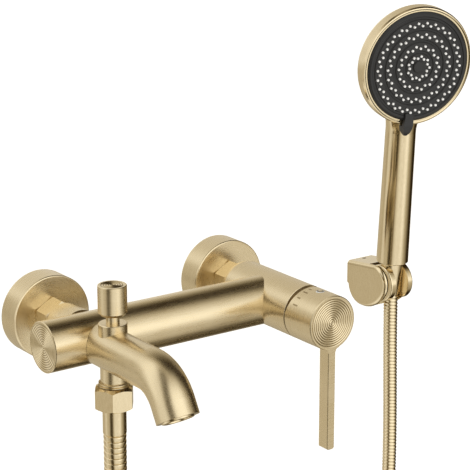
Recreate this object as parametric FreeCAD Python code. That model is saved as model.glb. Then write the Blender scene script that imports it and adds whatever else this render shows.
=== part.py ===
"""Wall mounted bath mixer with spout, diverter, hand shower, hose and bracket.

Millimetres.  Origin: midway between the two wall inlets, on the finished wall.
+Z is up, +Y goes into the wall and the mixer faces -Y.
"""
import FreeCAD, Part
import math
import os

V = FreeCAD.Vector

# ---- mixer: the bar, the valve housing and the wall unions -----------------
INLET_CENTRES = 150.0            # wall inlets, centre to centre
LEFT = -INLET_CENTRES / 2
RIGHT = INLET_CENTRES / 2
BAR_R = 17.6                     # horizontal bar
BAR_Y = -69.8                    # bar axis, measured from the wall
BAR_END = -112.2                 # left end of the bar
HOUSING_R = 19.4                 # valve housing and handle cap
HOUSING_FRONT = -111.6
BODY_BACK = -34.0                # back of the housing and of the left stub
STUB_R = 14.6
CHANNEL_R = 6.2                  # the two waterways along the bar
HOT_Y = -61.8
MIXED_Y = -77.8
ESC_R = 29.9                     # wall escutcheons
ESC_DEPTH = 18.5
ESC_WALL = 1.3
SPIGOT_R = 10.4                  # G1/2 male thread
SPIGOT_DEPTH = 16.0
UNION_R = 11.0
UNION_BORE_R = 7.5
UNION_FRONT = -24.0
NUT_AF = 26.2
NUT_BACK = -18.6
NUT_FRONT = -33.0
FLANGE_BACK = -26.0
FLANGE_FRONT = -28.0
FLANGE_R = 10.1
TAIL_R = 8.0                     # tail of the swivel piece, and its bore
TAIL_BORE_R = 6.0

# ---- ringed decoration on the end cap, the knob and the handle -------------
RING_PITCH = 1.6
RING_DEPTH = 0.45

# ---- valve cartridge, along -Y on the housing axis -------------------------
PORTS_X = (RIGHT - 5.5, RIGHT + 5.5)
CHAMBER_R = 13.2
CHAMBER_FLOOR = -70.0
THREAD_R = 15.0
THREAD_START = -97.0
BASE_FRONT = -82.0
FIXED_DISC_FRONT = -85.5
MOVING_DISC_FRONT = -89.0
DISC_CARRIER_FRONT = -93.5
CARTRIDGE_R = 12.4
CARTRIDGE_BORE_R = 11.0
CARTRIDGE_FRONT = -104.0
NECK_R = 8.95                    # neck of the turning carrier
RUN = 0.05                       # radial running clearance
PIVOT_Y = -112.3                 # pin that the handle tilts on
PIN_R = 1.0
STEM_HALF = 2.5                  # half the square stem
STEM_BACK = -92.0
STEM_FRONT = -132.0
LIFT_MAX = 12.0                  # degrees, lever pulled away from the wall

# ---- handle ----------------------------------------------------------------
CAP_BACK = -112.3
CAP_FRONT = -141.6
CAP_CAVITY_R = 17.9
CAP_CAVITY_FRONT = -124.0
DOME_R = 17.6                    # ball face under the cap's skirt
DOME_FRONT = -118.0
LEVER_WIDTH = 6.3
LEVER_DEPTH = 9.5
LEVER_TIP = -93.4
LEVER_BEVEL = 0.4
BUTTON_Y = -127.6                # index button over the grub screw
BUTTON_SEAT = 16.25

# ---- spout and diverter ----------------------------------------------------
SPOUT_R = 14.4
SPOUT_BORE_R = 11.2
SPOUT_Z = -1.3
SPOUT_BEND_Y = -142.7            # where the bend starts
SPOUT_BEND_R = 30.4
SPOUT_TURN = 59.5                # degrees
SPOUT_NOSE = 10.8
DIVERTER_Y = -98.0
NIPPLE_FRONT = -90.3             # spout nipple, stops short of the diverter's chamber
SPOUT_NIPPLE_R = 6.8
SPOUT_NIPPLE_BORE_R = 5.6
COLLAR_R = 9.7
COLLAR_TOP = 17.8
DIVERTER_BORE_R = 7.6
DIVERTER_FLOOR = -13.0
BUSH_BOTTOM = 9.5
STEM_R = 4.5
STEM_TOP = 36.0
ROD_R = 2.2
KNOB_R = 9.75
KNOB_BOTTOM = 23.4
KNOB_TOP = 44.1
KNOB_CHAMFER = 2.0
WASHER_BOTTOM = -12.9
WASHER_TOP = -9.9
SPRING_BOTTOM = -8.3
OUTLET_NECK_R = 9.0
OUTLET_NECK_BOTTOM = -22.5
OUTLET_THREAD_R = 10.3
OUTLET_BOTTOM = -33.0
THREAD_PITCH = 1.8
ORING_GROOVE_R = 8.45            # round the nipple, in the spout's root
ORING_GROOVE_DEPTH = 2.05

# ---- hose ------------------------------------------------------------------
HOSE_D = 11.0
HOSE_R = HOSE_D / 2
HOSE_NUT_AF = 24.6
HOSE_NUT_TOP = -26.0
HOSE_NUT_BOTTOM = -42.1
HOSE_NUT_TURN = -5.5             # degrees, one corner faces the front left
HOSE_WASHER_BOTTOM = -35.0
FERRULE_R = 8.05
FERRULE_BOTTOM = -59.6
SLEEVE_R = 7.8
SLEEVE_BOTTOM = -88.0
SLEEVE_PITCH = 3.9
SLEEVE_GROOVE = 0.7
COIL_X = 84.0
COIL_Z = -300.0
COIL_R = 60.5                    # to the middle of the turns
COIL_PITCH = 11.6
COIL_ENTRY = 210.0               # degrees round the coil, counted from +X towards +Z
COIL_EXIT = 330.0 + 720.0
COIL_FIRST_Y = -92.0

# ---- hand shower, in its own frame: handle bottom at 0, handle up +Z --------
HANDLE_R = 12.3                  # at the foot; the grip tapers a little
HANDLE_TOP_R = 11.6
GRIP_TOP = 104.0
SHOWER_FOOT = V(216.0, -38.0, -5.0)
SHOWER_LEAN = 3.44               # degrees, top away from the wall
SHOWER_TWIST = -12.0             # degrees about the handle, turned to the left
HEAD_Y = -20.0
HEAD_Z = 158.4
HEAD_TILT = 3.0                  # degrees, the face looks a little further down
HEAD_R = 45.2
FACE_R = 41.4
FACE_GROOVES = (11.3, 19.7, 28.5, 37.0)
CONE_TOP_R = 9.2
CONE_BOTTOM_R = 6.5
CONE_LENGTH = 26.0
CONE_BORE_R = 5.85               # the end of the hose passes through
NIPPLE_R = 7.0
NIPPLE_BOTTOM = -11.0
TAB_TURN = -7.0                  # degrees round the head, the tab rests a little to one side
TAB_OUTLINE = [(3.2, -36.0), (3.9, -43.0), (3.7, -47.0), (2.5, -50.5), (1.1, -53.0)]
TAB_SIDE = [(-0.45, -34.0), (-2.8, -39.0), (-3.6, -45.0), (-3.2, -50.0), (-1.4, -53.0), (1.4, -52.6),
            (3.5, -50.5), (3.5, -46.4), (-0.45, -46.2)]

# ---- bracket ---------------------------------------------------------------
BRACKET_X = 216.0
BRACKET_HALF = 13.5
CHEEK = 2.2
BRACKET_TOP = -11.6
BRACKET_BOTTOM = -44.6
CHEEK_R = 13.9
CHEEK_Y = -32.5
CHEEK_Z = -22.0
CHEEK_ARC_END = -27.0            # degrees, where the cheek's round passes into the belly
BELLY = [(-27.0, -43.1), (-14.0, BRACKET_BOTTOM), (0.0, -31.0)]
BELLY_ROUNDING = 3.0
CRADLE_Y = -36.5
CRADLE_Z = -21.7
CRADLE_R = 14.4
CRADLE_HALF = 10.8
CRADLE_GAP = 0.6                 # between the barrel and the bracket's hollow
CRADLE_PIN_R = 2.0
SEAT_CLEARANCE = 0.15
PLATE_HALF = 8.7
PLATE_DEPTH = 2.6
PLATE_TOP = -14.3
PLATE_BOTTOM = -35.8
BRACKET_SCREWS_Z = (-20.8, -32.0)
SCREW_END = 15.0                 # tip of the wall screws, inside the wall
LOCK_SCREW_Y = -4.4

LEFT_ROUTE = [
    (-75.0, -98.0, -88.0),
    (-75.0, -98.0, -118.0),
    (-67.0, -97.5, -162.0),
    (-48.0, -96.5, -208.0),
    (-22.0, -95.0, -250.0),
    (7.0, -93.5, -291.0),
]
RIGHT_ROUTE = [
    (157.0, -54.0, -296.0),
    (181.0, -50.0, -263.0),
    (199.0, -46.5, -232.0),
    (210.5, -43.5, -203.0),
    (216.0, -41.5, -174.0),
    (216.0, -36.4, -31.0),
    (216.0, -38.2, -1.0),
]


# ---- helpers ---------------------------------------------------------------
def turn_to(axis):
    return FreeCAD.Rotation(V(0, 0, 1), V(*axis))


def cylinder(radius, start, end):
    start = V(*start)
    along = V(*end) - start
    return Part.makeCylinder(radius, along.Length, start, along)


def ring(outer, inner, start, end):
    return cylinder(outer, start, end).cut(cylinder(inner, start, end))


def frustum(radius_1, radius_2, start, end):
    start = V(*start)
    along = V(*end) - start
    return Part.makeCone(radius_1, radius_2, along.Length, start, along)


def box(low, high):
    size = V(*high) - V(*low)
    return Part.makeBox(size.x, size.y, size.z, V(*low))


def prism(across_flats, start, end, turn=0.0):
    """Hexagonal prism; at turn 0 a corner points along the local X axis."""
    along = V(*end) - V(*start)
    corner = across_flats / math.sqrt(3)
    angles = [math.radians(60 * i + turn) for i in range(7)]
    outline = [V(corner * math.cos(a), corner * math.sin(a), 0) for a in angles]
    solid = Part.Face(Part.makePolygon(outline)).extrude(V(0, 0, along.Length))
    solid.Placement = FreeCAD.Placement(V(*start), turn_to(along))
    return solid


def chamfered_prism(across_flats, start, end, turn, bevel):
    """Hexagonal nut blank with the corners turned off at both ends at 30 degrees."""
    along = V(*end) - V(*start)
    length = along.Length
    corner = across_flats / math.sqrt(3) + 0.1
    rim = corner - bevel * math.sqrt(3)
    profile = [(0, 0), (rim, 0), (corner, bevel), (corner, length - bevel), (rim, length), (0, length)]
    return prism(across_flats, start, end, turn).common(revolve(profile, start, along))


def revolve(profile, origin, axis):
    """Turns a closed profile of (radius, height) points about an axis."""
    points = [V(r, 0, h) for r, h in profile]
    points.append(points[0])
    solid = Part.Face(Part.makePolygon(points)).revolve(V(0, 0, 0), V(0, 0, 1), 360)
    solid.Placement = FreeCAD.Placement(V(*origin), turn_to(axis))
    return solid


def ringed_face(radius, height):
    """Profile of a face with concentric ridges, from its rim to its centre."""
    count = int(radius / RING_PITCH)
    points = []
    for i in range(count, 0, -1):
        ridge = i * RING_PITCH
        points.append((ridge, height))
        points.append((ridge - RING_PITCH / 2, height - RING_DEPTH))
    points.append((0, height))
    return points


def torus(major, minor, centre, axis):
    return Part.makeTorus(major, minor, V(*centre), V(*axis))


def fuse(first, *others):
    return first.multiFuse(list(others)).removeSplitter()


def tube_path(route):
    """Straight runs joined by tangent arcs, each as large as its two runs allow."""
    points = [V(*p) for p in route]
    edges = []
    radii = []
    at = points[0]
    for before, corner, after in zip(points, points[1:], points[2:]):
        run_in = (before - corner).Length
        run_out = (after - corner).Length
        to_before = (before - corner).normalize()
        to_after = (after - corner).normalize()
        turn = math.pi - to_before.getAngle(to_after)
        reach = 0.45 * min(run_in, run_out)
        radius = reach / math.tan(turn / 2)
        radii.append(round(radius, 1))
        arc_start = corner + to_before * reach
        arc_end = corner + to_after * reach
        bisector = (to_before + to_after).normalize()
        middle = corner + bisector * (radius / math.cos(turn / 2) - radius)
        edges.append(Part.LineSegment(at, arc_start).toShape())
        edges.append(Part.Arc(arc_start, middle, arc_end).toShape())
        at = arc_end
    edges.append(Part.LineSegment(at, points[-1]).toShape())
    return Part.Wire(edges), radii


def tube_along(route, radius, name):
    path, radii = tube_path(route)
    start = V(*route[0])
    heading = V(*route[1]) - start
    circle = Part.Wire([Part.Circle(start, heading, radius).toShape()])
    solid = path.makePipeShell([circle], True, True)
    expected = math.pi * radius ** 2 * path.Length
    print(name, "length", round(path.Length, 1), "radii", radii,
          "volume ratio", round(solid.Volume / expected, 4))
    return solid, path.Length


# ---- wall side: unions, nuts, escutcheons ----------------------------------
def wall_union(x):
    """Threaded spigot in the wall, and the seat of the inlet washer at the front."""
    length = SPIGOT_DEPTH - UNION_FRONT
    profile = [(UNION_BORE_R, 0), (SPIGOT_R - 0.8, 0), (SPIGOT_R, 0.8), (SPIGOT_R, SPIGOT_DEPTH),
               (UNION_R, SPIGOT_DEPTH), (UNION_R, length), (UNION_BORE_R, length)]
    return revolve(profile, (x, SPIGOT_DEPTH, 0), (0, -1, 0))


def escutcheon(x):
    """Cover plate round the union, open towards the wall."""
    hole = UNION_R + 0.3
    inner = ESC_R - ESC_WALL
    profile = [(ESC_R, 0), (ESC_R, ESC_DEPTH - 0.9), (ESC_R - 0.3, ESC_DEPTH - 0.3), (ESC_R - 0.9, ESC_DEPTH),
               (hole, ESC_DEPTH), (hole, ESC_DEPTH - ESC_WALL), (inner, ESC_DEPTH - ESC_WALL), (inner, 0)]
    return revolve(profile, (x, 0, 0), (0, -1, 0))


def union_nut(x):
    """Swivel nut: threaded at the back, with a collar that pulls the tailpiece's flange."""
    blank = chamfered_prism(NUT_AF, (x, NUT_BACK, 0), (x, NUT_FRONT, 0), turn=90.0, bevel=1.2)
    thread = cylinder(UNION_R + RUN, (x, NUT_BACK, 0), (x, FLANGE_FRONT - RUN, 0))
    collar = cylinder(TAIL_R + 0.3, (x, NUT_BACK, 0), (x, NUT_FRONT, 0))
    return blank.cut(thread).cut(collar)


def tailpiece(x):
    """Flanged tube that the nut holds; its tail is screwed into the body."""
    flange = FLANGE_BACK - FLANGE_FRONT
    profile = [(TAIL_BORE_R, 0), (FLANGE_R, 0), (FLANGE_R, flange), (TAIL_R, flange), (TAIL_R, 24.0),
               (TAIL_BORE_R, 24.0)]
    return revolve(profile, (x, FLANGE_BACK, 0), (0, -1, 0))


def inlet_washer(x):
    return ring(FLANGE_R - 0.1, TAIL_BORE_R + 0.4, (x, UNION_FRONT - 0.02, 0), (x, FLANGE_BACK + 0.02, 0))


def inlet_filter(x):
    """Cup-shaped strainer inside the union's bore."""
    profile = [(7.4, 0), (7.4, 1.0), (5.6, 1.0), (3.0, 6.5), (0, 7.2), (0, 6.4), (2.4, 5.7), (5.0, 0)]
    return revolve(profile, (x, UNION_FRONT + 0.05, 0), (0, 1, 0))


# ---- mixer body and end cap ------------------------------------------------
def mixer_body():
    bar = revolve([(0, 0), (BAR_R - 0.4, 0), (BAR_R, 0.4), (BAR_R, RIGHT - BAR_END), (0, RIGHT - BAR_END)],
                  (BAR_END, BAR_Y, 0), (1, 0, 0))
    length = BODY_BACK - HOUSING_FRONT
    housing = revolve([(0, 0), (STUB_R, 0), (17.4, 1.2), (18.9, 2.9), (HOUSING_R, 5.2),
                       (HOUSING_R, length - 0.4), (HOUSING_R - 0.4, length), (0, length)],
                      (RIGHT, BODY_BACK, 0), (0, -1, 0))
    stub = revolve([(0, 0), (STUB_R - 0.5, 0), (STUB_R, 0.5), (STUB_R + 0.6, 22.0), (0, 22.0)],
                   (LEFT, BODY_BACK, 0), (0, -1, 0))
    solid = fuse(bar, housing, stub)
    cuts = [
        cylinder(16.45, (BAR_END - 1, BAR_Y, 0), (BAR_END + 2.1, BAR_Y, 0)),
        cylinder(13.6, (BAR_END - 1, BAR_Y, 0), (BAR_END + 15.0, BAR_Y, 0)),
        cylinder(CHANNEL_R, (BAR_END + 30.0, HOT_Y, 0), (RIGHT - 9.0, HOT_Y, 0)),
        cylinder(CHANNEL_R, (BAR_END + 14.0, MIXED_Y, 0), (RIGHT, MIXED_Y, 0)),
        cylinder(TAIL_R + RUN, (LEFT, BODY_BACK + 1, 0), (LEFT, -50.5, 0)),
        cylinder(6.0, (LEFT, -50.0, 0), (LEFT, HOT_Y, 0)),
        cylinder(SPOUT_NIPPLE_R + RUN, (LEFT, MIXED_Y, 0), (LEFT, BAR_Y - BAR_R - 1, 0)),
        cylinder(TAIL_R + RUN, (RIGHT, BODY_BACK + 1, 0), (RIGHT, -50.5, 0)),
        cylinder(3.4, (RIGHT + 5.5, -49.0, 0), (RIGHT + 5.5, CHAMBER_FLOOR - 1, 0)),
        cylinder(3.4, (RIGHT - 9.5, HOT_Y, 0), (RIGHT - 9.5, CHAMBER_FLOOR - 1, 0)),
        cylinder(CHAMBER_R, (RIGHT, CHAMBER_FLOOR, 0), (RIGHT, THREAD_START, 0)),
        cylinder(THREAD_R, (RIGHT, THREAD_START, 0), (RIGHT, HOUSING_FRONT - 1, 0)),
    ]
    return solid.cut(cuts[0].multiFuse(cuts[1:]))


def end_cap():
    shank = 13.55
    groove = shank - 1.9
    profile = [(0, 0), (11.0, 0), (11.0, 1.0), (shank, 1.0), (shank, 4.0), (groove, 4.0), (groove, 6.6),
               (shank, 6.6), (shank, 10.0), (16.35, 10.0), (16.35, 12.0)]
    profile += ringed_face(16.2, 12.1)
    return revolve(profile, (BAR_END + 12.1, BAR_Y, 0), (-1, 0, 0))


def end_cap_oring():
    return torus(12.63, 0.92, (BAR_END + 12.1 - 5.3, BAR_Y, 0), (1, 0, 0))


# ---- cartridge -------------------------------------------------------------
def on_valve(radius, back, front):
    return cylinder(radius, (RIGHT, back, 0), (RIGHT, front, 0))


def cartridge_base():
    solid = on_valve(CARTRIDGE_R, CHAMBER_FLOOR - 0.2, BASE_FRONT)
    for x in PORTS_X:
        solid = solid.cut(cylinder(2.3, (x, CHAMBER_FLOOR + 1, 0), (x, BASE_FRONT - 1, 0)))
        solid = solid.cut(cylinder(3.6, (x, CHAMBER_FLOOR + 1, 0), (x, CHAMBER_FLOOR - 1.6, 0)))
    solid = solid.cut(cylinder(2.6, (RIGHT, -77.0, -6.8), (RIGHT, BASE_FRONT - 1, -6.8)))
    return solid.cut(cylinder(2.4, (RIGHT - 14, -77.5, -6.8), (RIGHT, -77.5, -6.8)))


def cartridge_seals():
    """The two port rings under the base."""
    y = CHAMBER_FLOOR - 0.85
    return Part.makeCompound([torus(2.95, 0.62, (x, y, 0), (0, 1, 0)) for x in PORTS_X])


def fixed_disc():
    solid = on_valve(10.9, BASE_FRONT, FIXED_DISC_FRONT)
    for x in PORTS_X:
        solid = solid.cut(cylinder(2.3, (x, BASE_FRONT + 1, 0), (x, FIXED_DISC_FRONT - 1, 0)))
    return solid.cut(cylinder(2.6, (RIGHT, BASE_FRONT + 1, -6.8), (RIGHT, FIXED_DISC_FRONT - 1, -6.8)))


def moving_disc():
    """Rests above the ports and slides down over them as the lever lifts."""
    solid = on_valve(6.5, FIXED_DISC_FRONT - 0.02, MOVING_DISC_FRONT)
    pocket = cylinder(3.2, (RIGHT, FIXED_DISC_FRONT + 1, 1.5), (RIGHT, FIXED_DISC_FRONT - 2.0, 1.5))
    return solid.cut(pocket)


def disc_carrier():
    """Holds the moving disc by two lugs and is pushed by the ball end of the stem."""
    solid = on_valve(6.3, MOVING_DISC_FRONT - 0.02, DISC_CARRIER_FRONT)
    half = STEM_HALF + 0.35
    slot = box((RIGHT - half, DISC_CARRIER_FRONT - 1, -half), (RIGHT + half, STEM_BACK + 0.9, half))
    return solid.cut(slot)


def cartridge_housing():
    profile = [(CARTRIDGE_BORE_R, 0), (CARTRIDGE_R, 0), (CARTRIDGE_R, 15.0), (14.8, 15.0), (14.8, 17.0),
               (CARTRIDGE_R, 17.0), (CARTRIDGE_R, 22.0), (NECK_R + RUN, 22.0), (NECK_R + RUN, 19.0),
               (CARTRIDGE_BORE_R, 19.0)]
    return revolve(profile, (RIGHT, BASE_FRONT, 0), (0, -1, 0))


def retaining_nut():
    solid = on_valve(THREAD_R - 0.1, -99.05, -105.5).cut(on_valve(CARTRIDGE_R + 0.2, -99, -106))
    for turn in range(0, 360, 60):
        notch = box((RIGHT - 1.5, -106.5, 13.6), (RIGHT + 1.5, -103.0, 16.0))
        notch.rotate(V(RIGHT, 0, 0), V(0, 1, 0), turn)
        solid = solid.cut(notch)
    return solid


def dome_collar():
    """Ball-faced ring on the housing; the cap's skirt swings over it."""
    ball = Part.makeSphere(DOME_R, V(RIGHT, PIVOT_Y, 0))
    ball = ball.common(on_valve(DOME_R + 1, HOUSING_FRONT - 0.02, DOME_FRONT))
    skirt = on_valve(THREAD_R - 0.1, -105.6, HOUSING_FRONT - 0.5)
    solid = fuse(ball, skirt)
    return solid.cut(on_valve(NECK_R + 0.35, -105, DOME_FRONT - 1))


def spindle_carrier():
    """Turns with the handle for temperature; the stem tilts in its slot."""
    flange = on_valve(CARTRIDGE_BORE_R - RUN, -94.0, -100.8)
    neck = on_valve(NECK_R, -100.0, -116.0)
    solid = fuse(flange, neck)
    half = STEM_HALF + 0.15
    rear_slot = box((RIGHT - half, -108.0, -8.2), (RIGHT + half, -93.0, 3.6))
    front_slot = box((RIGHT - half, -117.0, -4.4), (RIGHT + half, -107.0, 4.4))
    pin_hole = cylinder(PIN_R, (RIGHT - 8.0, PIVOT_Y, 0), (RIGHT + 8.0, PIVOT_Y, 0))
    return solid.cut(rear_slot).cut(front_slot).cut(pin_hole)


def stem_pin():
    return cylinder(PIN_R, (RIGHT - 7.9, PIVOT_Y, 0), (RIGHT + 7.9, PIVOT_Y, 0))


def stem_lever():
    """Square stem: clamped in the cap, pivoted on the pin, ball end in the disc carrier."""
    shank = box((RIGHT - STEM_HALF, STEM_FRONT, -STEM_HALF), (RIGHT + STEM_HALF, -98.0, STEM_HALF))
    throat = cylinder(1.7, (RIGHT, -98.0, 0), (RIGHT, STEM_BACK, 0))
    ball = Part.makeSphere(STEM_HALF - 0.1, V(RIGHT, STEM_BACK, 0))
    ball = ball.common(box((RIGHT - 4, -97, -4), (RIGHT + 4, STEM_BACK + 0.6, 4)))
    solid = fuse(shank, throat, ball)
    return solid.cut(cylinder(PIN_R + RUN, (RIGHT - 4, PIVOT_Y, 0), (RIGHT + 4, PIVOT_Y, 0)))


# ---- handle ----------------------------------------------------------------
def handle():
    """Cap and lever in one casting."""
    depth = CAP_BACK - CAP_FRONT
    profile = [(0, 0), (HOUSING_R - 0.3, 0), (HOUSING_R, 0.3), (HOUSING_R, depth - 0.5),
               (HOUSING_R - 0.5, depth)]
    profile += ringed_face(17.7, depth)
    cap = revolve(profile, (RIGHT, CAP_BACK, 0), (0, -1, 0))
    half = LEVER_WIDTH / 2
    lever_back = CAP_FRONT + LEVER_DEPTH
    lever = box((RIGHT - half, CAP_FRONT, LEVER_TIP), (RIGHT + half, lever_back, -HOUSING_R + 1.0))
    edges = [e for e in lever.Edges if e.BoundBox.ZMax < LEVER_TIP + 1e-6 and e.BoundBox.YLength > 1]
    lever = lever.makeFillet(1.6, edges)
    front_edges = [e for e in lever.Edges if e.BoundBox.YMax < CAP_FRONT + 0.01 and e.BoundBox.ZMin < -25]
    lever = lever.makeChamfer(LEVER_BEVEL, front_edges)
    solid = fuse(cap, lever, *lever_roots(half))
    cavity = on_valve(CAP_CAVITY_R, CAP_BACK + 1, CAP_CAVITY_FRONT)
    fit = STEM_HALF + 0.02
    socket = box((RIGHT - fit, STEM_FRONT - 0.3, -fit), (RIGHT + fit, CAP_BACK, fit))
    screw_hole = cylinder(2.55, (RIGHT, BUTTON_Y, 0), (RIGHT, BUTTON_Y, HOUSING_R + 1))
    counterbore = cylinder(3.3, (RIGHT, BUTTON_Y, BUTTON_SEAT - 0.05), (RIGHT, BUTTON_Y, HOUSING_R + 1))
    return solid.cut(cavity).cut(socket).cut(screw_hole).cut(counterbore).cut(skirt_relief())


def lever_roots(half):
    """Small concave fillets where the lever leaves the round of the cap."""
    lever_back = CAP_FRONT + LEVER_DEPTH
    radius = 3.0
    roots = []
    for side in (-1, 1):
        centre_x = half + radius
        centre_z = -math.sqrt((HOUSING_R + radius) ** 2 - centre_x ** 2)
        start = (RIGHT + side * centre_x, CAP_FRONT, centre_z)
        end = (RIGHT + side * centre_x, lever_back, centre_z)
        low_x, high_x = sorted((RIGHT + side * (half - 0.5), RIGHT + side * centre_x))
        block = box((low_x, CAP_FRONT, centre_z), (high_x, lever_back, -HOUSING_R * 0.9))
        roots.append(block.cut(cylinder(radius, start, end)))
    return roots


def skirt_relief():
    """Wedge off the top of the skirt, so that it clears the housing when the lever lifts."""
    reach = 40.0
    gap = 0.35
    wedge = box((RIGHT - reach, 0, -reach), (RIGHT + reach, reach, reach))
    wedge.translate(V(0, PIVOT_Y + gap, 0))
    wedge.rotate(V(RIGHT, PIVOT_Y, 0), V(1, 0, 0), LIFT_MAX)
    return wedge


def handle_grub_screw():
    solid = cylinder(2.5, (RIGHT, BUTTON_Y, STEM_HALF + 0.05), (RIGHT, BUTTON_Y, 10.0))
    return solid.cut(prism(2.4, (RIGHT, BUTTON_Y, 7.0), (RIGHT, BUTTON_Y, 11.0)))


def index_button():
    profile = [(0, 0), (3.2, 0), (3.2, 2.9), (2.7, 3.3), (0, 3.6)]
    return revolve(profile, (RIGHT, BUTTON_Y, BUTTON_SEAT), (0, 0, 1))


# ---- spout, diverter and aerator -------------------------------------------
def spout_points(start_y):
    """Start, both ends and the middle of the bend, and the way the nose points."""
    turn = math.radians(SPOUT_TURN)
    centre = V(LEFT, SPOUT_BEND_Y, SPOUT_Z - SPOUT_BEND_R)
    middle = centre + V(0, -math.sin(turn / 2), math.cos(turn / 2)) * SPOUT_BEND_R
    bend_end = centre + V(0, -math.sin(turn), math.cos(turn)) * SPOUT_BEND_R
    nose = V(0, -math.cos(turn), -math.sin(turn))
    return V(LEFT, start_y, SPOUT_Z), V(LEFT, SPOUT_BEND_Y, SPOUT_Z), middle, bend_end, nose


def spout_sweep(radius, start_y, extra=0.0):
    start, bend, middle, bend_end, nose = spout_points(start_y)
    tip = bend_end + nose * (SPOUT_NOSE + extra)
    path = Part.Wire([Part.LineSegment(start, bend).toShape(), Part.Arc(bend, middle, bend_end).toShape(),
                      Part.LineSegment(bend_end, tip).toShape()])
    circle = Part.Wire([Part.Circle(start, V(0, -1, 0), radius).toShape()])
    return path.makePipeShell([circle], True, True)


def spout_tip():
    bend_end, nose = spout_points(0)[3:]
    return bend_end + nose * SPOUT_NOSE, nose


def upright(radius, bottom, top):
    return cylinder(radius, (LEFT, DIVERTER_Y, bottom), (LEFT, DIVERTER_Y, top))


def outlet_threads():
    """Closed ridges that stand in for the turns of the hose outlet's thread."""
    root = OUTLET_THREAD_R - 0.9
    profile = [(root - 0.4, -0.7), (root, -0.7), (OUTLET_THREAD_R, -0.2), (OUTLET_THREAD_R, 0.2), (root, 0.7),
               (root - 0.4, 0.7)]
    ridges = [upright(root, OUTLET_BOTTOM, OUTLET_NECK_BOTTOM)]
    crest = OUTLET_NECK_BOTTOM - THREAD_PITCH / 2
    while crest > OUTLET_BOTTOM + THREAD_PITCH / 2:
        ridges.append(revolve(profile, (LEFT, DIVERTER_Y, crest), (0, 0, 1)))
        crest -= THREAD_PITCH
    return ridges


def spout_body():
    """Spout, diverter chamber and hose outlet in one casting, saddled on the bar."""
    collar = revolve([(0, 0), (COLLAR_R, 0), (COLLAR_R, COLLAR_TOP - 0.5), (COLLAR_R - 0.5, COLLAR_TOP),
                      (0, COLLAR_TOP)], (LEFT, DIVERTER_Y, 0), (0, 0, 1))
    outlet = upright(OUTLET_NECK_R, OUTLET_NECK_BOTTOM, -5.0)
    solid = fuse(spout_sweep(SPOUT_R, BAR_Y - 8), collar, outlet, *outlet_threads())
    solid = solid.cut(cylinder(BAR_R + 0.2, (LEFT - 40, BAR_Y, 0), (LEFT + 40, BAR_Y, 0)))
    root = BAR_Y - BAR_R
    cuts = [
        cylinder(SPOUT_NIPPLE_R + RUN, (LEFT, BAR_Y, 0), (LEFT, NIPPLE_FRONT, 0)),
        cylinder(SPOUT_NIPPLE_BORE_R, (LEFT, BAR_Y, 0), (LEFT, DIVERTER_Y, 0)),
        ring(ORING_GROOVE_R, 6.0, (LEFT, BAR_Y, 0), (LEFT, root - ORING_GROOVE_DEPTH, 0)),
        upright(DIVERTER_BORE_R, DIVERTER_FLOOR, COLLAR_TOP + 1),
        upright(5.4, OUTLET_BOTTOM - 1, DIVERTER_FLOOR + 1),
        cylinder(4.4, (LEFT, DIVERTER_Y, 2.0), (LEFT, DIVERTER_Y - 14.5, 2.0)),
        spout_sweep(SPOUT_BORE_R, DIVERTER_Y - 13.5, 1.0),
    ]
    return solid.cut(cuts[0].multiFuse(cuts[1:]))


def spout_nipple():
    return ring(SPOUT_NIPPLE_R, SPOUT_NIPPLE_BORE_R, (LEFT, MIXED_Y - 2.0, 0), (LEFT, NIPPLE_FRONT, 0))


def spout_oring():
    """Seals the nipple where the spout meets the bar, in a groove of the spout's root."""
    root = BAR_Y - BAR_R
    return ring(ORING_GROOVE_R - RUN, SPOUT_NIPPLE_R + 0.02, (LEFT, root - 0.3, 0), (LEFT, root - 2.0, 0))


def at_tip(profile):
    tip, nose = spout_tip()
    return revolve(profile, (tip.x, tip.y, tip.z), (nose.x, nose.y, nose.z))


def aerator_housing():
    profile = [(8.8, -7.0), (11.0, -7.0), (11.1, -0.2), (10.6, 1.0), (9.6, 1.3), (9.0, 0.9), (8.8, -1.0)]
    return at_tip(profile)


def aerator_screen():
    """Perforated insert, with rings of round jets."""
    solid = at_tip([(0, -3.0), (8.75, -3.0), (8.75, -0.6), (0, -0.6)])
    tip, nose = spout_tip()
    side = V(1, 0, 0)
    other = nose.cross(side)
    for radius, count in ((2.6, 6), (5.0, 12), (7.2, 18)):
        for i in range(count):
            angle = 2 * math.pi * i / count
            spot = tip + side * (radius * math.cos(angle)) + other * (radius * math.sin(angle))
            hole = Part.makeCylinder(0.75, 5.0, spot - nose * 4.0, nose)
            solid = solid.cut(hole)
    return solid


def aerator_washer():
    return at_tip([(8.6, -8.6), (11.1, -8.6), (11.1, -7.05), (8.6, -7.05)])


def diverter_bush():
    """Closes the chamber at the top and guides the stem; grooved inside for its o-ring."""
    bush = upright(DIVERTER_BORE_R - RUN, BUSH_BOTTOM, COLLAR_TOP)
    bore = upright(STEM_R + RUN, BUSH_BOTTOM - 1, COLLAR_TOP + 1)
    return bush.cut(bore).cut(upright(5.95, 12.7, 14.1))


def diverter_oring():
    return torus(5.2, 0.66, (LEFT, DIVERTER_Y, 13.4), (0, 0, 1))


def diverter_stem():
    profile = [(0, -14.4), (3.4, -14.4), (3.4, WASHER_BOTTOM), (ROD_R, WASHER_BOTTOM), (ROD_R, WASHER_TOP),
               (5.2, WASHER_TOP), (5.2, SPRING_BOTTOM), (ROD_R, SPRING_BOTTOM), (ROD_R, BUSH_BOTTOM + 0.2),
               (STEM_R, BUSH_BOTTOM + 0.2), (STEM_R, STEM_TOP), (0, STEM_TOP)]
    return revolve(profile, (LEFT, DIVERTER_Y, 0), (0, 0, 1))


def diverter_washer():
    return ring(7.2, ROD_R + 0.01, (LEFT, DIVERTER_Y, WASHER_BOTTOM), (LEFT, DIVERTER_Y, WASHER_TOP))


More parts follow.
